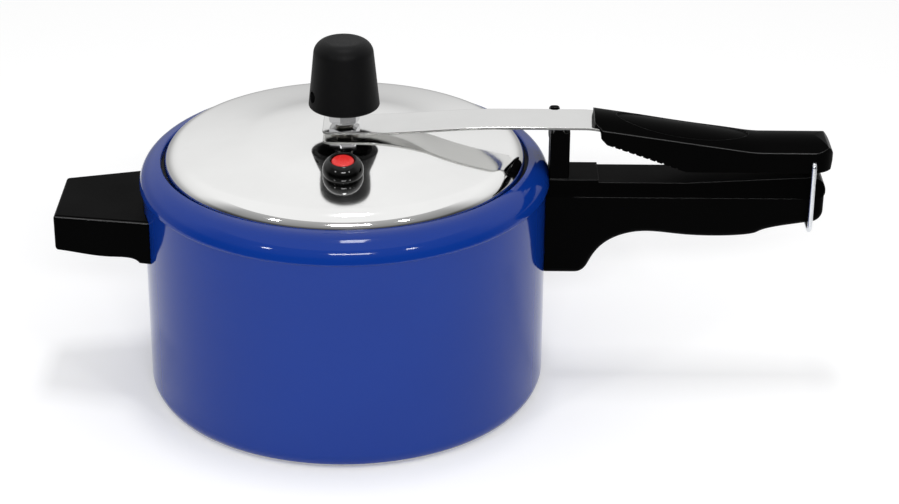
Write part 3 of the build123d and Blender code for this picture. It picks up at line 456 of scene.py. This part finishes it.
FINISHES: dict[str, Finish] = {
    "blue_enamel": BLUE_ENAMEL,
    "polished_aluminium": BUFFED_ALUMINIUM,
    "black_phenolic": MOULDED_PHENOLIC,
    "weight_phenolic": MATT_PHENOLIC,
    "strap_steel": POLISHED_STEEL,
    "polished_nut": POLISHED_NICKEL,
    "pipe_metal": PLATED_BRASS,
    "core_metal": TURNED_STEEL,
    "bail_wire": ZINC_WIRE,
    "bracket_steel": ROLLED_STEEL,
    "screw_steel": ZINC_SCREW,
    "rivet_aluminium": RIVET_ALUMINIUM,
    "gasket_rubber": GASKET_RUBBER,
    "valve_rubber": GLOSS_RUBBER,
    "red_plastic": RED_NYLON,
}


class Wardrobe:
    """Materials by record slot, each made once."""

    def __init__(self) -> None:
        """Make every finish and note each node's slot."""
        self.materials = {slot: finish.build() for slot, finish in FINISHES.items()}
        self.slots = {part["node"]: part["material_slot"] for part in frame["record"]["subparts"]}

    def dress_node(self, name: str) -> None:
        """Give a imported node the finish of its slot.

        Args:
            name: the node's name.
        """
        for place in frame["nodes"][name].material_slots:
            place.material = self.materials[self.slots[name]]
        log.info("%s wears %s", name, self.slots[name])


@dataclass
class SubAssembly:
    """Pieces that are made and fixed together and move with one body."""

    wardrobe: Wardrobe
    body: str = "cooker_body"
    nodes: tuple[str, ...] = ()
    sharp_degrees: float = 40.0

    def build(self) -> None:
        """Add nothing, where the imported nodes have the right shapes."""

    def dress(self) -> None:
        """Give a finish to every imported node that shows."""
        for name in self.nodes:
            self.wardrobe.dress_node(name)

    def add_piece(self, name: str, rings: Rings, slot: str, endless: bool = False) -> bpy.types.Object:
        """Make a closed piece from rings of points, in millimetres, and fix it to the body.

        Args:
            name: name of the piece.
            rings: rings of equally many points, from one end to the other.
            slot: record slot of its finish.
            endless: whether the last ring is joined to the first, and not both capped.

        Returns:
            The new object.
        """
        count = len(rings[0])
        points = [tuple(v * MM for v in point) for ring in rings for point in ring]
        faces = band_faces(len(rings), count, endless)
        if not endless:
            faces += [tuple(range(count))[::-1], tuple(range(len(points) - count, len(points)))]
        piece = add_mesh(name, points, faces, self.wardrobe.materials[slot])
        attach(piece, self.body)
        log.info("%s built on %s", name, self.body)
        return piece

    @staticmethod
    def turned(profile: Profile, base: Point, tilt_degrees: float = 0.0, flatten: float = 1.0,
               count: int = RING_POINTS) -> Rings:
        """Turn a profile round an axis that leans towards the front.

        Args:
            profile: radius and height of each ring.
            base: foot of the axis.
            tilt_degrees: lean of the axis.
            flatten: share of the radius that is kept across the handles.
            count: points in each ring.

        Returns:
            Rings of points.
        """
        lean = math.sin(math.radians(tilt_degrees))
        upright = math.cos(math.radians(tilt_degrees))
        rings = []
        for radius, height in profile:
            ring = []
            for turn in circle_turns(count):
                x = radius * math.cos(turn)
                y = radius * flatten * math.sin(turn)
                ring.append((base[0] + x, base[1] + y * upright - height * lean,
                             base[2] + y * lean + height * upright))
            rings.append(ring)
        return rings

    @staticmethod
    def drill(piece: bpy.types.Object, place: Point, radius: float) -> None:
        """Drill an upright hole through a piece.

        Args:
            piece: piece to drill.
            place: point that the hole runs through.
            radius: radius of the hole.
        """
        bpy.ops.mesh.primitive_cylinder_add(vertices=DRILL_SIDES, radius=radius * MM,
                                            depth=DRILL_LENGTH * MM, location=[v * MM for v in place])
        cutter = bpy.context.object
        cut = piece.modifiers.new("hole", "BOOLEAN")
        cut.operation = "DIFFERENCE"
        cut.solver = "EXACT"
        cut.object = cutter
        drilled = bpy.data.meshes.new_from_object(piece.evaluated_get(bpy.context.evaluated_depsgraph_get()))
        piece.modifiers.clear()
        piece.data = drilled
        bpy.data.objects.remove(cutter)

    def smooth(self, piece: bpy.types.Object) -> None:
        """Shade a piece smoothly, apart from edges that turn further than the sharp angle."""
        piece.data.shade_smooth()
        piece.data.set_sharp_from_angle(angle=math.radians(self.sharp_degrees))


@dataclass
class Pot(SubAssembly):
    """Enamelled pot with the brackets and rivets that carry its handles."""

    nodes: tuple[str, ...] = ("pot_shell", "main_bracket", "main_bracket_rivets", "helper_bracket",
                              "helper_bracket_rivets")


@dataclass
class LongHandle(SubAssembly):
    """Long handle with its fulcrum post and screws, and the mould's parting line along its sides."""

    nodes: tuple[str, ...] = ("main_handle", "main_handle_screws")
    sharp_degrees: float = 60.0
    ridge_half_width: float = 13.5
    ridge_level: float = 116.3
    line_start: float = 124.0
    line_end: float = 249.0
    line_radius: float = 0.28
    line_points: int = 8
    # Shares of the line's length, each with a share of its radius: the line fades out at its ends.
    line_taper: Profile = ((0.0, 0.15), (0.02, 0.8), (0.06, 1.0), (0.94, 1.0), (0.98, 0.8), (1.0, 0.15))

    def build(self) -> None:
        """Run a fine parting line along the ridge on each side."""
        length = self.line_end - self.line_start
        for name, side in (("front", -1.0), ("back", 1.0)):
            rings = []
            for along, share in self.line_taper:
                x = self.line_start + along * length
                radius = self.line_radius * share
                rings.append([(x, side * self.ridge_half_width + radius * math.cos(turn),
                               self.ridge_level + radius * math.sin(turn))
                              for turn in circle_turns(self.line_points)])
            piece = self.add_piece(f"parting_line_{name}", rings, "black_phenolic")
            self.smooth(piece)


@dataclass
class ShortHandle(SubAssembly):
    """Short handle on the other side, with its screw."""

    nodes: tuple[str, ...] = ("helper_handle", "helper_handle_screw")


@dataclass
class Lid(SubAssembly):
    """Buffed lid with its gasket, vent pipe, nuts and safety plug."""

    body: str = "lid"
    nodes: tuple[str, ...] = ("lid_gasket", "vent_pipe", "vent_pipe_seal", "vent_pipe_nut", "strap_nut")
    # Share of the lid's length along the handles that its width across them has.
    oval: float = 0.975
    sheet: float = 2.4
    bore: float = 4.8
    top: float = 149.7
    crown_radius: float = 52.8
    crown_level: float = 146.75
    crown_power: float = 3.0
    shoulder_radius: float = 89.4
    shoulder_level: float = 142.0
    shoulder_slope: float = 0.13
    edge_round: float = 10.0
    flange_radius: float = 103.6
    flange_top: float = 126.1
    flange_foot: float = 123.9
    flange_bend: float = 0.4
    dome_steps: int = 42
    edge_steps: int = 14
    lid_points: int = 192
    valve_hole: float = 6.4
    # Radius and height above the valve's place: foot, groove for the lid, round body, lip and cup.
    plug_profile: Profile = (
        (3.6, -4.5), (8.0, -4.5), (9.0, -3.4), (9.0, -2.6), (6.0, -2.5), (6.0, -0.6), (9.9, -0.6),
        (10.4, 0.0), (10.8, 1.1), (10.9, 2.3), (10.75, 3.5), (10.3, 4.9), (9.6, 6.2), (8.7, 7.3),
        (7.8, 8.1), (7.2, 8.4), (6.7, 8.4), (6.4, 8.1), (6.4, 5.4), (3.6, 5.4))

    def dome(self, radius: float) -> float:
        """Find the height of the upper face, a flat-topped crown that runs on smoothly to the shoulder.

        Args:
            radius: distance from the lid's middle, along the handles.

        Returns:
            Height of the face.
        """
        drop = self.top - self.crown_level
        if radius <= self.crown_radius:
            return self.top - drop * (radius / self.crown_radius) ** self.crown_power
        reach = self.shoulder_radius - self.crown_radius
        share = (radius - self.crown_radius) / reach
        first_slope = -self.crown_power * drop / self.crown_radius * reach
        last_slope = -self.shoulder_slope * reach
        # A cubic curve with the level and slope of both its ends.
        square = share ** 2
        cube = share ** 3
        return ((2 * cube - 3 * square + 1) * self.crown_level + (cube - 2 * square + share) * first_slope
                + (3 * square - 2 * cube) * self.shoulder_level + (cube - square) * last_slope)

    def lid_profile(self) -> Profile:
        """List the lid's section, over its upper face, round its flange and back inside.

        Returns:
            Radius and height of each point.
        """
        span = self.shoulder_radius - self.bore
        radii = [self.bore + span * number / self.dome_steps for number in range(self.dome_steps)]
        upper = [(radius, self.dome(radius)) for radius in radii]
        first = math.atan(self.shoulder_slope)
        middle = (self.shoulder_radius - self.edge_round * math.sin(first),
                  self.shoulder_level - self.edge_round * math.cos(first))
        sweep = math.pi / 2 - first
        turns = [first + sweep * number / self.edge_steps for number in range(self.edge_steps + 1)]
        edge, inside = ([(middle[0] + radius * math.sin(turn), middle[1] + radius * math.cos(turn))
                         for turn in turns] for radius in (self.edge_round, self.edge_round - self.sheet))
        wall = edge[-1][0]
        skirt = [(wall, self.flange_top + self.flange_bend), (wall + self.flange_bend, self.flange_top),
                 (self.flange_radius, self.flange_top), (self.flange_radius, self.flange_foot),
                 (wall - self.sheet, self.flange_foot)]
        under = [(radius, height - self.sheet) for radius, height in reversed(upper)]
        return tuple(upper + edge + skirt + inside[::-1] + under)

    def build(self) -> None:
        """Build the lid and the safety plug that stands square on it."""
        rings = self.turned(self.lid_profile(), (0.0, 0.0, 0.0), flatten=self.oval, count=self.lid_points)
        lid = self.add_piece("lid_shell_buffed", rings, "polished_aluminium", endless=True)
        self.drill(lid, VALVE, self.valve_hole)
        self.smooth(lid)
        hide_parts("lid_shell")
        rings = self.turned(self.plug_profile, VALVE, VALVE_TILT)
        plug = self.add_piece("safety_plug_moulded", rings, "valve_rubber", endless=True)
        self.smooth(plug)
        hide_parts("safety_plug")


@dataclass
class SafetyPin(SubAssembly):
    """Red pin in the safety plug, with its stop clip."""

    body: str = "safety_pin"
    nodes: tuple[str, ...] = ("safety_clip",)
    # Radius and height above the valve's place.
    head_profile: Profile = ((2.0, 5.6), (5.7, 5.6), (5.9, 5.8), (5.9, 7.5), (5.7, 7.8), (5.0, 8.05),
                             (3.8, 8.25), (2.4, 8.38), (1.0, 8.44))
    stem_profile: Profile = ((1.7, -12.2), (2.0, -11.9), (2.0, 6.4))

    def build(self) -> None:
        """Build the pin's head, square in its plug, and its upright stem."""
        rings = self.turned(self.head_profile, VALVE, VALVE_TILT)
        head = self.add_piece("safety_button_head", rings, "red_plastic")
        stem = self.add_piece("safety_button_stem", self.turned(self.stem_profile, VALVE), "red_plastic")
        self.smooth(head)
        self.smooth(stem)
        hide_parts("safety_button")


@dataclass
class Lever(SubAssembly):
    """Polished strap with smooth bends and rounded edges, and the upper handle on its tail."""

    body: str = "lever"
    nodes: tuple[str, ...] = ("upper_handle", "upper_handle_screws")
    half_width: float = 13.2
    tail_half_width: float = 9.0
    thick: float = 1.5
    end: float = -11.5
    corner: float = 4.0
    edge_round: float = 0.4
    # Width of the strip beside each rounded edge that keeps the shading of the face flat.
    edge_strip: float = 0.4
    seat_level: float = 151.8
    strap_level: float = 155.6
    rise_start: float = 9.5
    rise_end: float = 84.0
    bend: float = 132.0
    bend_reach: float = 3.0
    slope_degrees: float = 8.4
    tail_start: float = 139.0
    tail_end: float = 207.1
    # Distance along the handles and radius of each hole: for the pipe and for two screws.
    holes: Profile = ((0.0, 5.1), (154.0, 2.1), (194.0, 2.1))
    # Where the strap is divided, beside its corners and bends.
    seat_stations: tuple[float, ...] = (-4.0, 0.0, 4.0)
    run_stations: tuple[float, ...] = (95.0, 105.0, 120.0)
    tail_stations: tuple[float, ...] = (160.0, 185.0)
    rise_steps: int = 16
    bend_steps: int = 3
    arc_steps: int = 4

    def underside(self, x: float) -> float:
        """Find the height of the strap's underside.

        Args:
            x: distance along the handles.

        Returns:
            Height of the underside there.
        """
        share = min(max((x - self.rise_start) / (self.rise_end - self.rise_start), 0.0), 1.0)
        eased = share * share * (3 - 2 * share)
        level = self.seat_level + (self.strap_level - self.seat_level) * eased
        past = x - self.bend
        slope = math.tan(math.radians(self.slope_degrees))
        if past <= -self.bend_reach:
            return level
        if past >= self.bend_reach:
            return level - slope * past
        return level - slope * (past + self.bend_reach) ** 2 / (4 * self.bend_reach)

    def quarter_turns(self, number: int) -> list[float]:
        """List the angles along one quarter of a circle, counted from 0, in radians."""
        return [math.pi / 2 * (number + step / self.arc_steps) for step in range(self.arc_steps + 1)]

    @staticmethod
    def lost_to_round(radius: float, past: float) -> float:
        """Find how much a rounded end takes off the side of a strip.

        Args:
            radius: radius of the rounding.
            past: distance from the end.

        Returns:
            What is lost, which is nothing past the rounding.
        """
        return radius - math.sqrt(radius ** 2 - (radius - past) ** 2) if past < radius else 0.0

    def stations(self) -> list[Point]:
        """List the strap's cross-sections.

        Returns:
            Distance along the handles, half width and half thickness of each.
        """
        quarter = [1 - math.cos(turn) for turn in self.quarter_turns(0)]
        corner = [self.corner * share for share in quarter]
        rise = self.rise_end - self.rise_start
        steps = [self.end + self.edge_round * share for share in quarter]
        steps += [self.end + past for past in corner if past > self.edge_round]
        steps += self.seat_stations
        steps += [self.rise_start + rise * number / self.rise_steps for number in range(self.rise_steps + 1)]
        steps += self.run_stations
        steps += [self.bend + self.bend_reach * number / self.bend_steps
                  for number in range(-self.bend_steps, self.bend_steps + 1)]
        half = self.thick / 2
        sections = [(x, self.half_width - self.lost_to_round(self.corner, x - self.end),
                     half - self.lost_to_round(self.edge_round, x - self.end)) for x in steps]
        sections.append((self.tail_start, self.half_width, half))
        tail = (self.tail_start, *self.tail_stations, self.tail_end)
        return sections + [(x, self.tail_half_width, half) for x in tail]

    def section(self, x: float, width: float, height: float) -> list[Point]:
        """Make one cross-section with rounded edges.

        Args:
            x: distance along the handles.
            width: half width.
            height: half thickness.

        Returns:
            Points round the section.
        """
        middle = self.underside(x) + self.thick / 2
        radius = min(self.edge_round, height)
        points = []
        for corner, (side, level) in enumerate(((1, 1), (-1, 1), (-1, -1), (1, -1))):
            edge = [(x, side * (width - radius) + radius * math.cos(turn),
                     middle + level * (height - radius) + radius * math.sin(turn))
                    for turn in self.quarter_turns(corner)]
            inner = (x, side * (width - radius - self.edge_strip), middle + level * height)
            points += [*edge, inner] if corner % 2 == 0 else [inner, *edge]
        return points

    def build(self) -> None:
        """Build the strap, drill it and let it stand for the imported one."""
        rings = [self.section(*station) for station in self.stations()]
        strap = self.add_piece("lever_strap_polished", rings, "strap_steel")
        for x, radius in self.holes:
            self.drill(strap, (x, 0.0, self.strap_level), radius)
        self.smooth(strap)
        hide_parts("lever_strap")


@dataclass
class Bail(SubAssembly):
    """Wire that holds the two grips together."""

    body: str = "bail"
    nodes: tuple[str, ...] = ("wire_bail",)


@dataclass
class BellWeight(SubAssembly):
    """Bell with its slug and needle."""

    body: str = "weight"
    nodes: tuple[str, ...] = ("weight_cap", "weight_core", "weight_needle")


@dataclass(frozen=True)
class Softbox:
    """A rectangular lamp: middle and size in metres, and the brightness of its face."""

    name: str
    place: Point
    size: tuple[float, float]
    brightness: float

    def hang(self, aim: Point) -> None:
        """Hang the lamp facing a point, out of the camera's sight.

        Args:
            aim: point it faces, in metres.
        """
        data = bpy.data.lights.new(self.name, "AREA")
        data.shape = "RECTANGLE"
        data.size, data.size_y = self.size
        # A flat lamp's power is pi times the brightness and the area of its face.
        data.energy = self.brightness * math.pi * self.size[0] * self.size[1]
        lamp = add_object(self.name, data)
        lamp.location = self.place
        lamp.rotation_euler = (Vector(aim) - Vector(self.place)).to_track_quat("-Z", "Y").to_euler()
        lamp.visible_camera = False


@dataclass
class Studio:
    """White floor, soft light, the cloth round the set and the camera of the photograph."""

    camera_mm: Point = (57.4, -1188.3, 655.7)
    elevation: float = 26.0
    roll: float = 0.45
    focal_px: float = 2380.0
    picture_px: float = 899.0
    sensor_mm: float = 36.0
    floor_m: float = 12.0
    floor_colour: str = "#FBFBFB"
    floor_glow: float = 0.16
    world_level: float = 0.62
    aim_m: Point = (0.0, 0.0, 0.12)
    lamps: tuple[Softbox, ...] = (
        Softbox("overhead_softbox", (0.06, 0.0, 1.75), (0.42, 0.20), 21.0),
        Softbox("front_softbox", (0.13, -1.45, 0.90), (0.60, 0.12), 33.0),
        Softbox("left_softbox", (-0.97, -1.08, 0.90), (0.13, 0.13), 36.0),
        Softbox("right_softbox", (0.91, -1.13, 0.90), (0.13, 0.13), 36.0),
    )
    # Radius and height of the cloth in metres, and the height that its tones are measured from.
    cloth_profile: Profile = ((0.55, 0.0), (0.60, 0.17), (2.6, 0.75), (2.6, 2.7))
    cloth_sides: int = 96
    cloth_eye_m: float = 0.13
    # Angles above the horizon, each with the tone of the light that the cloth gives off, behind the object
    # and in front of it.
    cloth_range: tuple[float, float] = (-15.0, 45.0)
    back_tones: Tones = ((-15.0, "#A4A4A4"), (0.0, "#B0B0B0"), (4.0, "#C0C0C0"), (9.0, "#D4D4D4"),
                         (15.0, "#E8E8E8"), (22.0, "#F2F2F2"), (45.0, "#FFFFFF"))
    front_tones: Tones = ((-15.0, "#202020"), (0.0, "#282828"), (6.0, "#505050"), (13.0, "#909090"),
                          (28.0, "#A4A4A4"), (45.0, "#B8B8B8"))
    # Share of a heading that points to the back, at which the tones begin to change and have changed.
    front_turn: tuple[float, float] = (0.2, -0.4)

    def build_camera(self) -> None:
        """Place the camera where the photograph was taken from."""
        data = bpy.data.cameras.new("photo_camera")
        data.sensor_width = self.sensor_mm
        data.lens = self.focal_px / self.picture_px * self.sensor_mm
        camera = add_object("photo_camera", data)
        tilt = Matrix.Rotation(math.radians(90 - self.elevation), 4, "X")
        turn = Matrix.Rotation(math.radians(self.roll), 4, "Z")
        camera.matrix_world = Matrix.Translation(Vector(self.camera_mm) * MM) @ tilt @ turn
        bpy.context.scene.camera = camera

    @staticmethod
    def add_seen(tree: Tree) -> Socket:
        """Tell rays that show the set, straight or mirrored, from rays that light the object.

        Args:
            tree: node tree that gets the nodes.

        Returns:
            Output socket that is 1 for a ray that shows the set.
        """
        path = add_node(tree, "ShaderNodeLightPath").outputs
        seen = path["Is Camera Ray"]
        for kind in ("Is Glossy Ray", "Is Transmission Ray"):
            either = add_node(tree, "ShaderNodeMath", {0: seen, 1: path[kind]}, operation="MAXIMUM")
            seen = either.outputs["Value"]
        return seen

    def build_floor(self) -> None:
        """Lay a plain white floor."""
        material = bpy.data.materials.new("white_paper_sweep")
        tree = empty_tree(material)
        seen = self.add_seen(tree)
        paper = add_node(tree, "ShaderNodeBsdfDiffuse", {"Color": linear(self.floor_colour)})
        glow = add_node(tree, "ShaderNodeMath", {0: seen, 1: self.floor_glow}, operation="MULTIPLY")
        white = add_node(tree, "ShaderNodeEmission", {
            "Color": linear(WHITE), "Strength": glow.outputs["Value"]})
        both = add_node(tree, "ShaderNodeAddShader", {
            0: paper.outputs["BSDF"], 1: white.outputs["Emission"]})
        add_node(tree, "ShaderNodeOutputMaterial", {"Surface": both.outputs["Shader"]})
        half = self.floor_m / 2
        corners = [(-half, -half, 0.0), (half, -half, 0.0), (half, half, 0.0), (-half, half, 0.0)]
        add_mesh("studio_floor", corners, [(0, 1, 2, 3)], material)

    def add_ramp(self, tree: Tree, share: Socket, tones: Tones) -> Socket:
        """Add the cloth's tones from its foot to its top.

        Args:
            tree: node tree of the cloth.
            share: place between the ends of the cloth's range.
            tones: angles above the horizon, each with its tone.

        Returns:
            Output socket of the tone.
        """
        low, high = self.cloth_range
        ramp = add_node(tree, "ShaderNodeValToRGB", {"Fac": share})
        stops = ramp.color_ramp.elements
        places = [(degrees - low) / (high - low) for degrees, _ in tones]
        stops[0].position = places[0]
        stops[1].position = places[-1]
        for place in places[1:-1]:
            stops.new(place)
        for stop, (_, tone) in zip(stops, tones):
            stop.color = linear(tone)
        return ramp.outputs["Color"]

    def cloth_material(self) -> bpy.types.Material:
        """Make the cloth's material, a glow whose tones follow the angle at which the object sees it.

        Returns:
            The material.
        """
        material = bpy.data.materials.new("glowing_graded_cloth")
        tree = empty_tree(material)
        material.cycles.emission_sampling = "NONE"
        flat, radius, height = measure_place(tree)
        rise = add_node(tree, "ShaderNodeMath", {0: height, 1: self.cloth_eye_m}, operation="SUBTRACT")
        angle = add_node(tree, "ShaderNodeMath", {0: rise.outputs["Value"], 1: radius}, operation="ARCTAN2")
        low, high = self.cloth_range
        share = add_node(tree, "ShaderNodeMapRange", {
            "Value": angle.outputs["Value"], "From Min": math.radians(low), "From Max": math.radians(high)})
        heading = add_node(tree, "ShaderNodeVectorMath", {0: flat}, operation="NORMALIZE")
        across = add_node(tree, "ShaderNodeSeparateXYZ", {0: heading.outputs["Vector"]}).outputs["Y"]
        front = add_node(tree, "ShaderNodeMapRange", {
            "Value": across, "From Min": self.front_turn[0], "From Max": self.front_turn[1]},
            interpolation_type="SMOOTHSTEP")
        back_shade, front_shade = (self.add_ramp(tree, share.outputs["Result"], tones)
                                   for tones in (self.back_tones, self.front_tones))
        tone = add_node(tree, "ShaderNodeMix", {
            "Factor": front.outputs["Result"], COLOUR_A: back_shade, COLOUR_B: front_shade},
            data_type="RGBA")
        glow = add_node(tree, "ShaderNodeEmission", {"Color": tone.outputs[COLOUR_OUT]})
        add_node(tree, "ShaderNodeOutputMaterial", {"Surface": glow.outputs["Emission"]})
        return material

    def build_cloth(self) -> None:
        """Stand a glowing cloth round the set, dimmer at its foot, which only gloss and metal mirror."""
        points = [(radius * math.cos(turn), radius * math.sin(turn), height)
                  for radius, height in self.cloth_profile for turn in circle_turns(self.cloth_sides)]
        faces = band_faces(len(self.cloth_profile), self.cloth_sides)
        cloth = add_mesh("studio_cloth", points, faces, self.cloth_material())
        cloth.visible_camera = False
        cloth.visible_diffuse = False
        cloth.visible_shadow = False

    def build_world(self) -> None:
        """Light the room evenly and show it white."""
        world = bpy.data.worlds.new("white_room")
        tree = empty_tree(world)
        level = add_node(tree, "ShaderNodeMapRange", {
            "Value": self.add_seen(tree), "To Min": self.world_level, "To Max": 1.0})
        background = add_node(tree, "ShaderNodeBackground", {
            "Color": linear(WHITE), "Strength": level.outputs["Result"]})
        add_node(tree, "ShaderNodeOutputWorld", {"Surface": background.outputs["Background"]})
        bpy.context.scene.world = world

    def build(self) -> None:
        """Build the whole studio."""
        self.build_floor()
        self.build_cloth()
        self.build_world()
        self.build_camera()
        for lamp in self.lamps:
            lamp.hang(self.aim_m)
        bpy.context.scene.view_settings.view_transform = "Standard"


def main() -> None:
    """Build the looks around the frame."""
    logging.basicConfig(level=logging.INFO, format="%(name)s: %(message)s")
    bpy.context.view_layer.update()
    wardrobe = Wardrobe()
    for kind in (Pot, LongHandle, ShortHandle, Lid, SafetyPin, Lever, Bail, BellWeight):
        assembly = kind(wardrobe)
        assembly.build()
        assembly.dress()
    Studio().build()


if __name__ == "__main__":
    main()
